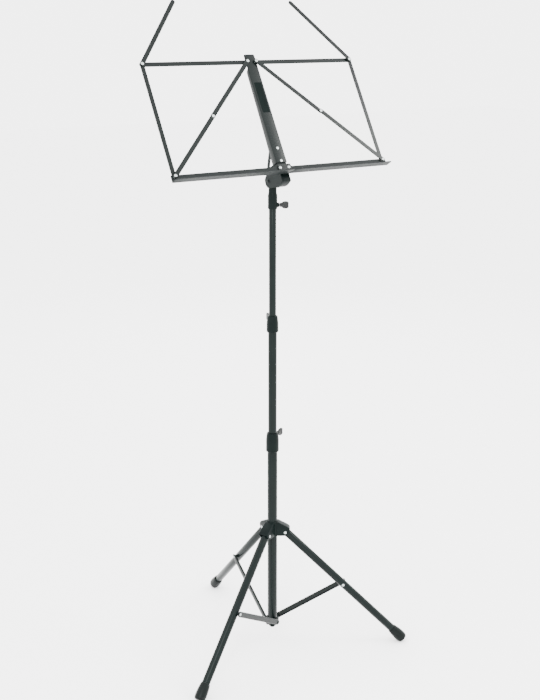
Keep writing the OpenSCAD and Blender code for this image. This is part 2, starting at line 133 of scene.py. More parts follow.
def node(tree, kind, **values):
    made = tree.nodes.new(kind)
    for key, value in values.items():
        if key in made.inputs:
            made.inputs[key].default_value = value
        else:
            setattr(made, key, value)
    return made


def noise(tree, scale, detail=3.0, rough=0.55):
    """Fractal noise in the piece's own metres; scale is in cycles per metre."""
    coord = node(tree, "ShaderNodeTexCoord")
    tex = node(tree, "ShaderNodeTexNoise", Scale=scale, Detail=detail, Roughness=rough)
    tree.links.new(coord.outputs["Object"], tex.inputs["Vector"])
    return tex.outputs["Fac"]


def remap(tree, value, lo, hi, out_lo, out_hi):
    mapped = node(tree, "ShaderNodeMapRange")
    for slot, number in zip(("From Min", "From Max", "To Min", "To Max"), (lo, hi, out_lo, out_hi)):
        mapped.inputs[slot].default_value = number
    tree.links.new(value, mapped.inputs["Value"])
    return mapped.outputs["Result"]


def blend_colours(tree, fac, a, b):
    mix = node(tree, "ShaderNodeMix", data_type="RGBA")
    mix.inputs[6].default_value = (*a, 1)
    mix.inputs[7].default_value = (*b, 1)
    tree.links.new(fac, mix.inputs[0])
    return mix.outputs[2]


def bump(tree, shader, height, depth, strength=1.0):
    made = node(tree, "ShaderNodeBump", Strength=strength, Distance=depth)
    tree.links.new(height, made.inputs["Height"])
    tree.links.new(made.outputs["Normal"], shader.inputs["Normal"])


def powder_coat(name, dark, light, rough, specular):
    """Satin powder coat: faint clouding, fine orange peel, and roughness that varies in its own finer
    patches.
    """
    mat, tree, shader = new_material(name)
    cloud = noise(tree, 38, 4)
    shader.inputs["Specular IOR Level"].default_value = specular
    tree.links.new(blend_colours(tree, remap(tree, cloud, 0.35, 0.68, 0, 1), dark, light),
                   shader.inputs["Base Color"])
    tree.links.new(remap(tree, noise(tree, 420, 3), 0.3, 0.7, rough - 0.06, rough + 0.08),
                   shader.inputs["Roughness"])
    bump(tree, shader, noise(tree, 1500, 2), 0.00005, 0.3)
    return mat


def zinc_plate(name):
    """Bright zinc plate: slightly mottled, with fine scuffs."""
    mat, tree, shader = new_material(name)
    shader.inputs["Metallic"].default_value = 0.75
    tree.links.new(blend_colours(tree, remap(tree, noise(tree, 700, 3), 0.35, 0.7, 0, 1),
                                 (0.30, 0.33, 0.32), (0.42, 0.45, 0.44)),
                   shader.inputs["Base Color"])
    tree.links.new(remap(tree, noise(tree, 1600, 2), 0.3, 0.7, 0.24, 0.42),
                   shader.inputs["Roughness"])
    bump(tree, shader, noise(tree, 2600, 2), 0.00006, 0.4)
    return mat


def moulded(name, dark, light, rough, grain, specular):
    """Moulded plastic or rubber: fine spark texture and a little bloom."""
    mat, tree, shader = new_material(name)
    tree.links.new(blend_colours(tree, remap(tree, noise(tree, 90, 4), 0.35, 0.7, 0, 1), dark, light),
                   shader.inputs["Base Color"])
    shader.inputs["Specular IOR Level"].default_value = specular
    tree.links.new(remap(tree, noise(tree, 500, 3), 0.3, 0.7, rough - 0.07, rough + 0.07),
                   shader.inputs["Roughness"])
    bump(tree, shader, noise(tree, grain, 3), 0.0001, 0.4)
    return mat


# Name, dark and light colour of the clouding, roughness, specular level.
COATS = (
    ("tube_paint", (0.0012, 0.0034, 0.0030), (0.0020, 0.0046, 0.0041), 0.22, 0.09),
    ("casting_paint", (0.0010, 0.0028, 0.0026), (0.0018, 0.0042, 0.0038), 0.38, 0.055),
    ("bar_paint", (0.0024, 0.0042, 0.0039), (0.0034, 0.0054, 0.0050), 0.27, 0.11),
    ("ledge_paint", (0.0080, 0.0100, 0.0098), (0.0104, 0.0126, 0.0124), 0.45, 0.06),
)
# Name, dark and light colour, roughness, cycles per metre of the spark texture, specular level.
MOULDINGS = (
    ("grey_plastic", (0.004, 0.005, 0.005), (0.008, 0.009, 0.009), 0.40, 900, 0.16),
    ("bush_plastic", (0.003, 0.003, 0.003), (0.005, 0.005, 0.005), 0.5, 900, 0.16),
    ("rubber_foot", (0.0008, 0.0020, 0.0018), (0.0014, 0.0030, 0.0027), 0.34, 1100, 0.09),
    ("plain_label", (0.0006, 0.0024, 0.0022), (0.0012, 0.0036, 0.0032), 0.35, 700, 0.03),
)


def make_materials():
    made = {row[0]: powder_coat(*row) for row in COATS}
    made["zinc_steel"] = zinc_plate("zinc_steel")
    made.update({row[0]: moulded(*row) for row in MOULDINGS})
    return made


# ---- shapes, all drawn in millimetres ----

def round_corners(points, radius, steps=4):
    """Closed outline with every corner replaced by a short curve."""
    out = []
    count = len(points)
    for i, corner in enumerate(points):
        corner = Vector(corner)
        before = Vector(points[i - 1]) - corner
        after = Vector(points[(i + 1) % count]) - corner
        cut = min(radius, before.length * 0.45, after.length * 0.45)
        start = corner + before.normalized() * cut
        end = corner + after.normalized() * cut
        for k in range(steps + 1):
            t = k / steps
            out.append(start * (1 - t) ** 2 + corner * 2 * t * (1 - t) + end * t ** 2)
    return out


def arc(centre, radius, a0, a1, steps=16):
    """Points on an arc, from a0 to a1 degrees."""
    turns = [math.radians(a0 + (a1 - a0) * k / steps) for k in range(steps + 1)]
    return [Vector((centre[0] + radius * math.cos(a), centre[1] + radius * math.sin(a)))
            for a in turns]


def stadium(p, q, width):
    """Outline of a flat bar with round ends about p and q."""
    p, q = Vector(p), Vector(q)
    turn = math.degrees(math.atan2(q.y - p.y, q.x - p.x))
    return (arc(q, width / 2, turn - 90, turn + 90, 14)
            + arc(p, width / 2, turn + 90, turn + 270, 14))


def plate(loops, thick, edge):
    """Flat plate centred on z = 0 with rounded edges; loops after the first are holes."""
    curve = bpy.data.curves.new("outline", "CURVE")
    curve.dimensions = "2D"
    curve.fill_mode = "BOTH"
    curve.extrude = thick / 2 - edge
    curve.bevel_depth = edge
    curve.bevel_resolution = 2
    curve.offset = -edge
    for loop in loops:
        spline = curve.splines.new("POLY")
        spline.points.add(len(loop) - 1)
        for point, place in zip(spline.points, loop):
            point.co = (place[0], place[1], 0, 1)
        spline.use_cyclic_u = True
    obj = bpy.data.objects.new("outline", curve)
    mesh = bpy.data.meshes.new_from_object(obj)
    bpy.data.objects.remove(obj)
    bpy.data.curves.remove(curve)
    return mesh


def lathe(profile, segments=48):
    """Turns a profile of (radius, z) points about the Z axis."""
    bm = bmesh.new()
    rings = []
    for radius, z in profile:
        if radius < 1e-6:
            rings.append([bm.verts.new((0, 0, z))])
            continue
        turns = [2 * math.pi * k / segments for k in range(segments)]
        rings.append([bm.verts.new((radius * math.cos(a), radius * math.sin(a), z)) for a in turns])
    for low, high in zip(rings, rings[1:]):
        for k in range(segments):
            nxt = (k + 1) % segments
            corners = [low[k % len(low)], low[nxt % len(low)],
                       high[nxt % len(high)], high[k % len(high)]]
            unique = list(dict.fromkeys(corners))
            if len(unique) > 2:
                bm.faces.new(unique)
    bmesh.ops.remove_doubles(bm, verts=bm.verts, dist=1e-4)
    bmesh.ops.recalc_face_normals(bm, faces=bm.faces)
    return to_mesh(bm)


def to_mesh(bm):
    mesh = bpy.data.meshes.new("shape")
    bm.to_mesh(mesh)
    bm.free()
    return mesh


def with_modifiers(mesh, *settings):
    """Applies modifiers, each given as (kind, {setting: value}), and returns the result."""
    obj = bpy.data.objects.new("work", mesh)
    bpy.context.scene.collection.objects.link(obj)
    for kind, values in settings:
        made = obj.modifiers.new(kind, kind)
        for key, value in values.items():
            setattr(made, key, value)
    graph = bpy.context.evaluated_depsgraph_get()
    result = bpy.data.meshes.new_from_object(obj.evaluated_get(graph))
    bpy.data.objects.remove(obj)
    return result


def channel(stations, bend, thick):
    """Folded sheet channel. Each station is (x, half width, web height, flange edge height)."""
    bm = bmesh.new()
    rows = []
    for x, half, top, low in stations:
        r = max(min(bend, abs(top - low) * 0.999, half), 1e-4)
        sign = 1 if top >= low else -1
        line = [(-half, low), (-half, top - sign * r)]
        for k in range(1, 4):
            a = math.radians(90 * k / 4)
            line.append((-half + r - r * math.cos(a), top - sign * (r - r * math.sin(a))))
        line.append((-half + r, top))
        line += [(0, top)] + [(-y, z) for y, z in reversed(line)]
        rows.append([bm.verts.new((x, y, z)) for y, z in line])
    for a, b in zip(rows, rows[1:]):
        for k in range(len(a) - 1):
            bm.faces.new((a[k], a[k + 1], b[k + 1], b[k]))
    bmesh.ops.remove_doubles(bm, verts=bm.verts, dist=1e-3)
    bmesh.ops.recalc_face_normals(bm, faces=bm.faces)
    return with_modifiers(to_mesh(bm),
                          ("SOLIDIFY", {"thickness": thick, "offset": -1.0, "use_even_offset": True}),
                          ("BEVEL", {"width": thick * 0.22, "segments": 2, "limit_method": "ANGLE",
                                     "angle_limit": math.radians(50)}))


def rivet_head(radius, height):
    """Low domed head standing on z = 0."""
    return lathe([(0, height), (radius * 0.35, height * 0.98), (radius * 0.66, height * 0.84),
                  (radius * 0.88, height * 0.55), (radius, height * 0.2), (radius * 0.99, 0),
                  (0, 0)], 32)


def drum(radius, z0, z1, edge=0.2):
    """Short round bar with broken edges."""
    return lathe([(0, z0), (radius - edge, z0), (radius, z0 + edge), (radius, z1 - edge),
                  (radius - edge, z1), (0, z1)], 32)


# ---- pieces ----

def moved(mesh, matrix):
    copy = mesh.copy()
    copy.transform(matrix)
    if matrix.determinant() < 0:
        copy.flip_normals()
    return copy


def joined(meshes):
    bm = bmesh.new()
    for mesh in meshes:
        bm.from_mesh(mesh)
    return to_mesh(bm)


def piece(name, meshes, place, *, like, slot=None, sharp=38):
    """One finished piece: meshes in millimetres, put in the row frame by place."""
    mesh = joined(meshes)
    mesh.transform(place @ Matrix.Diagonal((MM, MM, MM, 1)))
    if place.determinant() < 0:
        mesh.flip_normals()
    mesh.name = name
    mesh.shade_smooth()
    mesh.set_sharp_from_angle(angle=math.radians(sharp))
    obj = bpy.data.objects.new(name, mesh)
    bpy.context.scene.collection.objects.link(obj)
    slot = slot or SLOT_OF[like]
    mesh.materials.clear()
    mesh.materials.append(MATERIALS[slot])
    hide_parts(like)
    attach(obj, BODY_OF[like])
    return obj


def basis(origin, x, y):
    """Placing matrix from an origin and two directions."""
    x, y = Vector(x).normalized(), Vector(y).normalized()
    z = x.cross(y)
    made = Matrix((x, y, z)).transposed().to_4x4()
    made.translation = origin
    return made


def shift(x=0.0, y=0.0, z=0.0):
    return Matrix.Translation((x, y, z))


def box_centre(name):
    low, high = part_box(name)
    return (Vector(low) + Vector(high)) / 2


MAST = Vector((box_centre("lower_tube").x, box_centre("lower_tube").y, 0))
MATERIALS = make_materials()


# ---- frames taken from the CAD model ----

def mast_frame(turn=0.0):
    """Millimetre frame on the mast axis at the floor."""
    return Matrix.Translation(MAST) @ Matrix.Rotation(math.radians(turn), 4, "Z")


def joint_point(name):
    return Vector(JOINTS[name]["pos_m"])


def desk_frame():
    """X to the reader's right, Y up the desk, Z out of its face, origin between the ledge rivets."""
    left, right = joint_point("ledge_left_fold"), joint_point("ledge_right_fold")
    up = joint_point("top_bar_right_fold") - right
    return basis((left + right) / 2, right - left, up)


DESK = desk_frame()
MIRROR = {1: Matrix.Identity(4), -1: Matrix.Diagonal((-1, 1, 1, 1))}


def half(s):
    """Desk frame, mirrored for the left half."""
    return DESK @ MIRROR[s]


def leg_frame(name):
    """Origin on the leg's upper rivet, X out from the mast side, Y along the rivet, Z up the tube."""
    top = joint_point(f"leg_{name}_fold")
    lower = joint_point(f"strut_{name}_fold")
    axis = Vector(JOINTS[f"leg_{name}_fold"]["axis"]).normalized()
    up = (top - lower).normalized()
    made = Matrix((axis.cross(up), axis, up)).transposed().to_4x4()
    made.translation = top
    return made


def hub_frame(name):
    """On the mast axis at the floor, X towards that leg, Y along its rivets, Z up."""
    axis = Vector(JOINTS[f"leg_{name}_fold"]["axis"]).normalized()
    made = Matrix((axis.cross(Vector((0, 0, 1))), axis, Vector((0, 0, 1)))).transposed().to_4x4()
    made.translation = MAST
    return made


def strut_frame(name):
    """On the mast axis at the star rivets' height, X along the strut, Y along its rivets."""
    star = Vector((MAST.x, MAST.y, box_centre(f"star_rivet_{name}").z))
    along = joint_point(f"strut_{name}_fold") - star
    axis = Vector(JOINTS[f"leg_{name}_fold"]["axis"]).normalized()
    made = Matrix((along.normalized(), axis, along.cross(axis).normalized())).transposed().to_4x4()
    made.translation = star
    return made


def z_range(name):
    low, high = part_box(name)
    return low[2] / MM, high[2] / MM


# Turns a shape drawn along Z so that it lies along +Y instead.
Z_TO_Y = Matrix(((1, 0, 0, 0), (0, 0, 1, 0), (0, -1, 0, 0), (0, 0, 0, 1)))
# Turns a shape drawn along Z so that it lies along +X instead.
Z_TO_X = Matrix(((0, 0, 1, 0), (0, 1, 0, 0), (-1, 0, 0, 0), (0, 0, 0, 1)))
FLAT_TO_XZ = Matrix(((1, 0, 0, 0), (0, 0, -1, 0), (0, 1, 0, 0), (0, 0, 0, 1)))


# ---- mast ----

def tube_mesh(d, z0, z1, wall=1.2, rim=0.35):
    """Open tube with softly rounded rims."""
    r, bore = d / 2, d / 2 - wall
    edge = rim * 0.3
    return lathe([(bore, z0 + rim), (bore + edge, z0 + edge), (bore + rim, z0), (r - rim, z0),
                  (r - edge, z0 + edge), (r, z0 + rim), (r, z1 - rim), (r - edge, z1 - edge),
                  (r - rim, z1), (bore + rim, z1), (bore + edge, z1 - edge), (bore, z1 - rim),
                  (bore, z0 + rim)], 64)


def mast_tubes():
    for name, d, wall in (
            ("lower_tube", LOWER_D, 1.2), ("middle_tube", MIDDLE_D, 1.1), ("upper_tube", UPPER_D, 1.2)):
        z0, z1 = z_range(name)
        piece(f"{name}_skin", [tube_mesh(d, z0, z1, wall)], mast_frame(), like=name)


def clamp_profile(r, tube_r, inner_r, z0, z1):
    """Pressed clamp sleeve: chamfered ends, a slight waist below the screw, an open top lip."""
    return [(tube_r - 0.1, z0 + 3), (tube_r + 0.15, z0 + 0.4), (tube_r + 0.7, z0), (r - 1.3, z0 + 0.5),
            (r - 0.45, z0 + 1.5), (r - 0.08, z0 + 2.6), (r, z0 + 4), (r, z0 + 8),
            (r - 0.15, z0 + 11), (r - 0.05, z1 - 17), (r - 0.3, z1 - 13.5), (r - 0.75, z1 - 9),
            (r - 1.2, z1 - 5.5), (r - 1.55, z1 - 2.8), (r - 1.8, z1 - 1.2), (r - 2.2, z1 - 0.3),
            (r - 2.6, z1), (inner_r + 0.5, z1), (inner_r + 0.25, z1 - 0.4), (inner_r + 0.2, z1 - 3)]


def boss_mesh(r0, r1, radius=4.7):
    """Screw boss along Z that flares into the sleeve it stands on."""
    return lathe([(radius + 1.8, r0), (radius + 0.7, r0 + 1.0), (radius + 0.15, r0 + 2.0),
                  (radius, r0 + 3), (radius, r1 - 0.6), (radius - 0.6, r1), (2.7, r1),
                  (2.7, r1 - 1.5), (0, r1 - 1.5)], 40)


def screw_place(joint):
    """Frame of a thumb screw: Z outward along the stud, from the mast axis."""
    axis = Vector(JOINTS[joint]["axis"]).normalized()
    place = joint_point(joint)
    up = Vector((0, 0, 1))
    made = Matrix((-up, up.cross(axis), axis)).transposed().to_4x4()
    made.translation = place
    return made


def local(place, frame_matrix):
    """A placing matrix rewritten in the millimetres of another frame."""
    rel = frame_matrix.inverted() @ place
    rel.translation = rel.translation / MM
    return rel


def clamps():
    for name, screw, tube_d, inner_d, boss in (
            ("lower_clamp", "lower_screw_turn", LOWER_D, MIDDLE_D, 15.8),
            ("upper_clamp", "upper_screw_turn", MIDDLE_D, UPPER_D, 14.3)):
        z0, z1 = z_range(name)
        r = tube_d / 2 + CLAMP_WALL
        sleeve = lathe(clamp_profile(r, tube_d / 2, inner_d / 2, z0, z1), 64)
        stub = moved(boss_mesh(r - 2.6, boss), local(screw_place(screw), mast_frame()))
        piece(f"{name}_skin", [sleeve, stub], mast_frame(), like=name)


def wing_mesh(hub_r0, roll):
    """Moulded wing screw head: a round hub that grows into a thumb paddle."""
    hub = lathe([(0, hub_r0), (3.9, hub_r0), (4.3, hub_r0 + 0.5), (4.25, hub_r0 + 4.2),
                 (3.7, hub_r0 + 6.4), (2.8, hub_r0 + 7.8), (0, hub_r0 + 8)], 40)
    half_wing = [(0, 1.0), (3.0, 1.7), (5.8, 4.9), (7.6, 7.8), (8.2, 11.0), (8.0, 14.4), (6.9, 17.0),
                 (5.0, 18.4), (2.6, 18.5)]
    outline = half_wing + [(0, 18.1)] + [(-x, y) for x, y in reversed(half_wing[1:])]
    paddle = plate([round_corners(outline, 1.6, 3)], 3.7, 1.3)
    paddle = moved(paddle, Matrix.Rotation(math.radians(roll), 4, "Z") @ shift(z=hub_r0) @ FLAT_TO_XZ)
    return with_modifiers(joined([hub, paddle]),
                          ("REMESH", {"mode": "VOXEL", "voxel_size": 0.32}),
                          ("SMOOTH", {"factor": 0.6, "iterations": 6}))


def stud_mesh(tip, end):
    """Screw stud with a coned tip and rolled thread ridges."""
    profile = [(0, tip), (1.6, tip), (2.3, tip + 0.8)]
    turns = int((end - tip - 2) / 0.8)
    for k in range(turns):
        z = tip + 1 + k * 0.8
        profile += [(2.18, z), (2.48, z + 0.4)]
    profile += [(2.3, end - 0.5), (0, end - 0.4)]
    return lathe(profile, 32)


def thumb_screws():
    for which, tip, hub, end, roll in (("lower", 9.35, 16.4, 22, 0), ("upper", 7.85, 14.9, 20.5, 0),
                                       ("socket", 7.85, 13.9, 19.6, 20)):
        place = screw_place(f"{which}_screw_turn")
        piece(f"{which}_wings_skin", [wing_mesh(hub, roll)], place, like=f"{which}_wings", sharp=60)
        piece(f"{which}_stud_skin", [stud_mesh(tip, end)], place, like=f"{which}_stud", sharp=25)


# ---- tripod ----

def base_star():
    """Cast star: three flats for the struts, softened corners and a neck under the tube."""
    z0 = z_range("base_star")[0]
    face, cut = 10.2, 15.5
    turn = math.degrees(math.atan2(hub_frame("right")[1][0], hub_frame("right")[0][0]))
    outline = []
    for k in range(3):
        normal = math.radians(turn + 90 + 120 * k)
        span = math.sqrt(cut ** 2 - face ** 2)
        n = Vector((math.cos(normal), math.sin(normal)))
        t = Vector((-n.y, n.x))
        outline += [n * face - t * span, n * face + t * span]
    block = moved(plate([round_corners(outline, 1.6)], 17, 1.2), shift(z=z0 + 8.5))
    neck = lathe([(0, z0 + 16), (11.3, z0 + 16.4), (11.1, z0 + 17.6), (10.7, z0 + 18.6),
                  (10.45, z0 + 19), (0, z0 + 19)], 64)
    foot = lathe([(0, z0 - 0.01), (5.4, z0), (5.0, z0 + 1.2), (0, z0 + 1.5)], 40)
    piece("base_star_skin", [block, neck, foot], mast_frame(), like="base_star")


def collar():
    z0, z1 = z_range("tripod_collar")
    r = 12.9
    sleeve = lathe([(10.65, z0 + 3), (10.7, z0 + 0.5), (11.0, z0), (r - 1.0, z0), (r - 0.3, z0 + 0.4),
                    (r, z0 + 1.2), (r, z1 - 2.6), (r - 0.35, z1 - 1.2), (r - 1.3, z1 - 0.3),
                    (r - 1.7, z1), (10.9, z1), (10.7, z1 - 0.5), (10.65, z1 - 3)], 64)
    piece("tripod_collar_skin", [sleeve], mast_frame(), like="tripod_collar")


def lug_mesh():
    """Folded lug in the leg's radial plane: x out from the mast, z up, closed just above the leg."""
    stations = [(7.0, 285.8, 254.3), (13, 285.0, 254.3), (15, 284.2, 254.3), (19, 282.0, 254.3),
                (23, 279.8, 254.4), (27.7, 277.5, 254.7), (31, 275.6, 256.5), (34, 273.6, 259.3),
                (36.3, 271.8, 261.9), (37.4, 270.4, 263.2), (37.9, 268.6, 263.9), (38.05, 265.9, 264.1)]
    mesh = channel([(x, 10.6, top, low) for x, top, low in stations], 2.2, 1.5)
    seat = 12.2
    for vert in mesh.vertices:
        if math.hypot(vert.co.x, vert.co.y) < seat:
            vert.co.x = math.sqrt(seat ** 2 - vert.co.y ** 2)
    return mesh


def tripod():
    lugs = [moved(lug_mesh(), local(hub_frame(n), mast_frame())) for n in LEGS]
    piece("collar_lugs_skin", lugs, mast_frame(), like="collar_lugs")
    pins = []
    for name in LEGS:
        centre = shift(HUB_R, 0, HUB_Z)
        for s in (1, -1):
            out = Matrix.Diagonal((1, s, 1, 1)) @ shift(y=10.6)
            head_mesh = moved(rivet_head(HEAD_R, HEAD_H), out @ Z_TO_Y)
            pins.append(moved(head_mesh, local(hub_frame(name), mast_frame()) @ centre))
        pins.append(moved(moved(drum(2.15, -10.6, 10.6), Z_TO_Y),
                          local(hub_frame(name), mast_frame()) @ centre))
    piece("hub_rivets_skin", pins, mast_frame(), like="hub_rivets")
    for name in LEGS:
        leg(name)
        strut(name)


def leg(name):
    place = leg_frame(name)
    tube = tube_mesh(LEG_D, -359.6, 7.4, rim=0.5)
    piece(f"leg_{name}_skin", [tube], place, like=f"leg_{name}")
    rim = -330.7
    cap = lathe([(8.4, rim + 0.1), (9.0, rim + 0.05), (9.5, rim - 0.2), (9.85, rim - 1.0),
                 (9.85, rim - 2.4), (10.2, rim - 3.4), (10.75, rim - 7), (11.3, rim - 12),
                 (11.75, rim - 17), (11.95, rim - 21), (12.0, rim - 25), (11.85, rim - 28),
                 (11.5, rim - 31),
                 (10.9, rim - 33.2), (9.9, rim - 34.8), (8.4, rim - 35.7), (6.5, rim - 35.9),
                 (0, rim - 35.9)], 56)
    foot = piece(f"foot_{name}_skin", [cap], place, like=f"foot_{name}", sharp=50)
    for vert in foot.data.vertices:
        vert.co.z = max(vert.co.z, 0.0)
    at = shift(z=-STRUT_AT)
    spacer = moved(lathe([(0, 7.8), (4.1, 7.8), (4.2, 8.1), (4.2, 13.0), (4.0, 13.2), (0, 13.2)], 32),
                   Z_TO_Y)
    piece(f"strut_spacer_{name}_skin", [moved(spacer, at)], place, like=f"strut_rivet_{name}",
          slot="casting_paint")
    parts = [moved(drum(2.15, -8.8, STRUT_FACE + 1, 0.1), Z_TO_Y),
             moved(rivet_head(HEAD_R, HEAD_H), shift(y=STRUT_FACE + 0.12) @ Z_TO_Y),
             moved(rivet_head(HEAD_R, HEAD_H), Matrix.Diagonal((1, -1, 1, 1)) @ shift(y=7.95) @ Z_TO_Y)]
    piece(f"strut_rivet_{name}_skin", [moved(m, at) for m in parts], place, like=f"strut_rivet_{name}")


def strut(name):
    """Rolled channel with flattened round ends; its web faces away from the leg."""
    place = strut_frame(name)
    reach = (joint_point(f"strut_{name}_fold") - place.translation).length / MM
    r = 6.0
    ends = [(-r, 0.4), (-r * 0.96, 2.0), (-r * 0.85, 3.2), (-r * 0.6, 4.8), (-r * 0.25, 5.8), (0.5, r)]
    stations = [(x, h, 0.0, -0.5 - 0.4 * k) for k, (x, h) in enumerate(ends)]
    stations += [(6, r, 0, -3.2), (11, r, 0, -3.9), (reach - 11, r, 0, -3.9), (reach - 6, r, 0, -3.2)]
    stations += [(reach - x, h, 0.0, -0.5 - 0.4 * k) for k, (x, h) in reversed(list(enumerate(ends)))]
    shape = channel(stations, 1.6, 1.2)
    turn = Matrix(((1, 0, 0, 0), (0, 0, 1, STRUT_FACE), (0, -1, 0, 0), (0, 0, 0, 1)))
    piece(f"strut_{name}_skin", [moved(shape, turn)], place, like=f"strut_{name}")
    parts = [moved(rivet_head(HEAD_R, HEAD_H), shift(y=STRUT_FACE - 0.05) @ Z_TO_Y),
             moved(drum(3.4, 10.9, 13.7), Z_TO_Y)]
    piece(f"star_rivet_{name}_skin", parts, place, like=f"star_rivet_{name}")


# ---- desk support ----

def desk_support():
    z0 = z_range("desk_socket")[0]
    r, top = 9.6, 990.5
    tilt = joint_point("desk_tilt").z / MM
    body = lathe([(7.6, z0 + 3), (7.65, z0 + 0.4), (7.8, z0), (r - 0.8, z0 + 0.2), (r - 0.3, z0 + 1.2),
                  (r, z0 + 2.6), (r - 0.1, z0 + 9), (r, top - 8), (r - 0.1, top - 4),
                  (r - 0.45, top - 2), (r - 1.0, top - 0.4), (8.4, top + 0.9), (8.2, top + 3),
                  (8.2, tilt - 9), (8.0, tilt - 5), (0, tilt - 4)], 64)
    eye = moved(lathe([(0, -8.3), (9.6, -8.3), (10.3, -7.9), (10.5, -7.2), (10.5, 7.2), (10.3, 7.9),
                       (9.6, 8.3), (0, 8.3)], 56), shift(z=tilt) @ Z_TO_X)
    stub = moved(boss_mesh(r - 2.0, 13.2), local(screw_place("socket_screw_turn"), mast_frame()))
    piece("desk_socket_skin", [body, eye, stub], mast_frame(), like="desk_socket")
    bolt = [moved(drum(2.95, -10, 15.9, 0.5), Z_TO_X),
            moved(lathe([(0, 2.0), (1.3, 1.9), (2.5, 1.4), (3.2, 0.6), (3.5, 0), (0, 0)], 40),
                  Matrix.Diagonal((-1, 1, 1, 1)) @ shift(x=10.35) @ Z_TO_X)]
    piece("tilt_bolt_skin", [moved(m, shift(z=tilt)) for m in bolt], mast_frame(), like="tilt_bolt")
    hexagon = [Vector((5.75 * math.cos(math.radians(60 * k)), 5.75 * math.sin(math.radians(60 * k))))
               for k in range(6)]
    nut = [moved(plate([hexagon], 4.6, 0.5), shift(x=12.7) @ Z_TO_X),
           moved(drum(4.6, 10.4, 15.3, 0.4), Z_TO_X)]
    piece("tilt_nut_skin", [moved(m, shift(z=tilt)) for m in nut], mast_frame(), like="tilt_nut")


def cheek_mesh():
    """One cheek of the tilter, drawn as (n, v), with its window behind the plate."""
    outline = [(-54.5, 6.5), (-59, 2.2), (-60.2, -5), (-59, -11.5), (-54, -17.5), (-47, -20),
               (-41.5, -21.4), (-27, -27), (-19, -28.6), (-11.6, -28.2), (-1, -25.7), (-0.5, -24),
               (-0.5, 50), (-8, 50), (-15.5, 46), (-36.5, 22.5), (-42, 14), (-49, 8.7)]
    window = [(-5, 40), (-13, 36.5), (-30, 17), (-5, 14.5)]
    return plate([round_corners(outline, 4.0), list(reversed(round_corners(window, 2.2)))], 1.5, 0.45)


def skirt_mesh():
    """Front and underside of the tilter as one bent sheet, drawn as (n, v) and centred on u = 0."""
    line = [(-1.25, -7.5), (-1.25, -23.2), (-1.6, -24.5), (-2.9, -25.3), (-7.0, -26.5), (-11.7, -27.4),
            (-15.5, -27.8), (-19, -27.85), (-23, -27.3), (-26.8, -26.2), (-30.5, -24.8), (-33.8, -23.6)]
    bm = bmesh.new()
    across = [-9.3, -4.5, 0, 4.5, 9.3]
    rows = [[bm.verts.new((n, v, u)) for u in across] for n, v in line]
    for a, b in zip(rows, rows[1:]):
        for k in range(len(a) - 1):
            bm.faces.new((a[k], a[k + 1], b[k + 1], b[k]))
    return with_modifiers(to_mesh(bm),
                          ("SOLIDIFY", {"thickness": 1.5, "offset": 0.0, "use_even_offset": True}),
                          ("BEVEL", {"width": 0.3, "segments": 2, "limit_method": "ANGLE",
                                     "angle_limit": math.radians(50)}))


def tilt_bracket():
    # (n, v) drawings stand across the desk: x of the drawing goes to n, y to v.
    stand = Matrix(((0, 0, -1, 0), (0, 1, 0, 0), (1, 0, 0, 0), (0, 0, 0, 1)))
    parts = [moved(skirt_mesh(), stand)]
    for s in (-1, 1):
        parts.append(moved(cheek_mesh(), shift(x=s * 9.45) @ stand))
        dimple = lathe([(0, 0.3), (4.5, 0.3), (6.6, 0.2), (7.6, 0.0), (0, 0)], 40)
        at = shift(x=s * 10.0, y=-4.28, z=-47.07)
        parts.append(moved(dimple, at @ Matrix.Diagonal((s, 1, 1, 1)) @ Z_TO_X))
    web = [(-10.2, -9), (10.2, -9), (10.2, 50), (-10.2, 50)]
    parts.append(moved(plate([round_corners(web, 2.5)], 1.6, 0.4), shift(z=-0.8)))
    ears = [(-14, -8.5), (14, -8.5), (14, 5.2), (11.2, 8), (-11.2, 8), (-14, 5.2)]
    parts.append(plate([round_corners(ears, 2)], 3.2, 0.5))
    piece("tilt_bracket_skin", parts, DESK, like="tilt_bracket")


# ---- desk ----

def centre_plate():
    """Folded channel with a flat front; the flanges are deeper towards the ledge."""
    half_w, top = 12.5, 1.6
    rows = [(13, half_w, -13.2), (14.2, half_w, -14.0), (40, half_w, -13.0), (80, half_w, -11.4),
            (110, half_w, -10.0), (160, half_w, -8.6), (205, half_w, -7.2), (210, half_w, -6.6),
            (213, half_w, -4.6), (215, half_w, -1.0), (216, half_w, 0.0), (242, half_w, 0.0),
            (244.2, half_w - 0.3, 0.0), (245.3, half_w - 1.0, 0.0), (246, half_w - 2.2, 0.0)]
    shape = channel([(v, w, top, low) for v, w, low in rows], 1.7, 1.3)
    lay = Matrix(((0, -1, 0, 0), (1, 0, 0, 0), (0, 0, 1, 0), (0, 0, 0, 1)))
    parts = [moved(shape, lay)]
    for s in (-1, 1):
        ear = plate([arc((s * CENTRE_U, DESK_H), 5.5, 0, 350, 30)], 1.5, 0.4)
        parts.append(moved(ear, shift(z=0.8)))
    piece("centre_plate_skin", parts, DESK, like="centre_plate")


def label():
    outline = round_corners([(-8.4, 119.8), (8.4, 119.8), (8.4, 184.4), (-8.4, 184.4)], 1.5)
    film = moved(plate([outline], 0.24, 0.06), shift(z=1.73))
    piece("label_skin", [film], DESK, like="label_plate")


def stack(u, v, *discs):
    """Round bars on one rivet axis, each given as (radius, n0, n1)."""
    return [moved(drum(radius, n0, n1, 0.15), shift(u, v)) for radius, n0, n1 in discs]


def head(u, v, n, radius=HEAD_R, height=HEAD_H, back=False):
    flip = Matrix.Diagonal((1, 1, -1, 1)) if back else Matrix.Identity(4)
    return moved(rivet_head(radius, height), shift(u, v, n) @ flip)


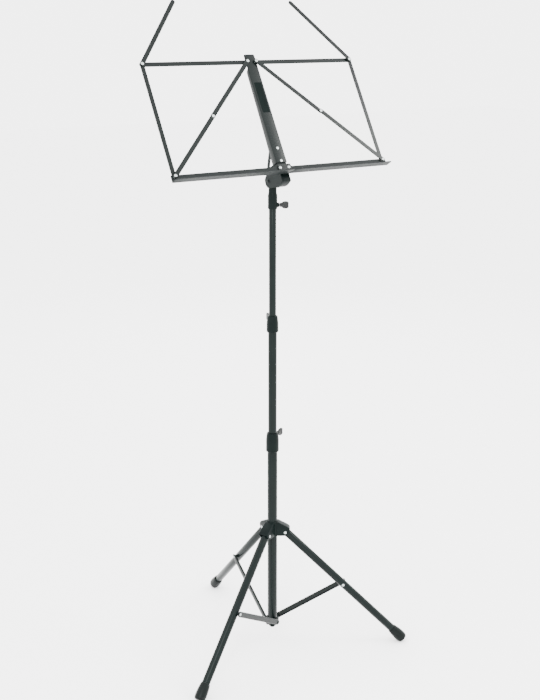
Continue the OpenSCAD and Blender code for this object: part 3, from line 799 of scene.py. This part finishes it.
def desk_rivets():
    parts = []
    for v in (16.5, 43.1):
        parts += [head(0, v, 1.55, 2.7, 0.36), head(0, v, -1.5, 2.7, 1.3, back=True)]
    piece("bracket_rivets_skin", parts, DESK, like="bracket_rivets")
    parts = []
    for s in (-1, 1):
        parts += stack(s * CENTRE_U, 0, (1.95, -3.9, 5.6)) + [head(s * CENTRE_U, 0, 5.55)]
    piece("bottom_rivets_skin", parts, DESK, like="bottom_rivets")
    parts = []
    for s in (-1, 1):
        parts += stack(s * CENTRE_U, DESK_H, (1.95, -2.2, 5.8), (3.0, 1.6, 3.85))
        parts += [head(s * CENTRE_U, DESK_H, 5.74), head(s * CENTRE_U, DESK_H, -2.14, back=True)]
    piece("top_rivets_skin", parts, DESK, like="top_rivets")
    block = round_corners([(-15, -6), (15, -6), (15, 7.7), (-15, 7.7)], 2.4)
    front = moved(plate([block], BAR_T, 0.45), shift(z=4.8))
    piece("hinge_block_skin", [front], DESK, like="hinge_block")


def flat_bar(k, p, q):
    """Flat bar in layer k of the desk, with softened edges."""
    return moved(plate([stadium(p, q, BAR_W)], BAR_T, 0.35), shift(z=LAYER * k + BAR_T / 2))


def web_outline():
    """Front view of a ledge's web with its round rivet lobes."""
    end, top, low = 249.3, 3.0, -10.2
    lobe = arc((CORNER_U, 0), 6.0, 30, 150, 12)
    hinge = arc((CENTRE_U, 0), 8.5, 20.7, 270, 24)
    corner = [Vector((CENTRE_U, low)), Vector((end - 2, low)), Vector((end, low + 2)),
              Vector((end, top - 2)), Vector((end - 0.6, top - 0.6)), Vector((end - 2, top))]
    return corner + lobe + hinge


def shelf_mesh(s):
    """Bend and shelf of a ledge. The inner end follows the slanted line between the shelves."""
    inner, outer = (0.8, 249.3) if s > 0 else (0.0, -249.3)
    line = [(2.75, -8.8), (2.75, -10.1)]
    for k in range(1, 5):
        a = math.radians(90 * k / 4)
        line.append((4.4 - 1.65 * math.cos(a), -10.1 - 1.65 * math.sin(a)))
    line += [(4.4 + (21.9 - 4.4) * k / 8, -11.75) for k in range(1, 9)]
    bm = bmesh.new()
    rows = []
    for n, v in line:
        t = max(0.0, (n - 2) / 20)
        start = 4 + inner + 8 * t * t
        corner = 2.0 * max(0.0, (n - 19.9) / 2) ** 2
        stops = [start, start + (outer - start) * 0.1, start + (outer - start) * 0.5,
                 start + (outer - start) * 0.9, outer - math.copysign(corner, outer)]
        rows.append([bm.verts.new((u, v, n)) for u in stops])
    for a, b in zip(rows, rows[1:]):
        for k in range(len(a) - 1):
            bm.faces.new((a[k], a[k + 1], b[k + 1], b[k]))
    bmesh.ops.recalc_face_normals(bm, faces=bm.faces)
    return with_modifiers(to_mesh(bm),
                          ("SOLIDIFY", {"thickness": 1.45, "offset": 0.0, "use_even_offset": True}),
                          ("BEVEL", {"width": 0.35, "segments": 2, "limit_method": "ANGLE",
                                     "angle_limit": math.radians(50)}))


def desk_half(s, side):
    t, p, q = Vector((CENTRE_U, DESK_H)), Vector((CORNER_U, DESK_H)), Vector((CORNER_U, 0))
    m = (t + q) / 2
    web = moved(plate([web_outline()], 1.55, 0.35), MIRROR[s] @ shift(z=2.8))
    piece(f"ledge_{side}_skin", [web, shelf_mesh(s)], DESK, like=f"ledge_{side}")
    for name, k, a, c in (("top_bar", -1, t, p), ("side_bar", 0, p, q),
                          ("upper_brace", 2, t, m), ("lower_brace", 3, q, m)):
        piece(f"{name}_{side}_skin", [flat_bar(k, a, c)], half(s), like=f"{name}_{side}")
    turn = math.radians(ARM_ANGLE)
    tip = p + ARM_LEN * Vector((-math.sin(turn), math.cos(turn)))
    piece(f"page_arm_{side}_skin", [flat_bar(1, p, tip)], half(s), like=f"page_arm_{side}")
    corner = stack(*p, (1.95, -2, 3.7)) + [head(*p, 3.74), head(*p, -1.95, 3.7, 1.4, back=True)]
    piece(f"corner_rivet_{side}_skin", corner, half(s), like=f"corner_rivet_{side}")
    ledge = stack(*q, (1.95, -0.2, 7.8), (3.5, 3.6, 5.85))
    ledge += [head(*q, 7.74), head(*q, -0.14, 3.7, 1.4, back=True)]
    piece(f"ledge_rivet_{side}_skin", ledge, half(s), like=f"ledge_rivet_{side}")
    brace = stack(*m, (1.95, 6.1, 7.6)) + [head(*m, 7.55)]
    piece(f"brace_rivet_{side}_skin", brace, half(s), like=f"brace_rivet_{side}")


def carry_over(*names):
    """CAD nodes whose own shape is shown, with a finished material."""
    for name in names:
        data = frame["nodes"][name].data
        data.materials.clear()
        data.materials.append(MATERIALS[SLOT_OF[name]])


set_camera(MAST)
add_floor()
add_lights()
mast_tubes()
clamps()
thumb_screws()
base_star()
collar()
tripod()
desk_support()
tilt_bracket()
centre_plate()
label()
desk_rivets()
for s, side in SIDES:
    desk_half(s, side)
carry_over("lower_clamp_bush", "upper_clamp_bush")
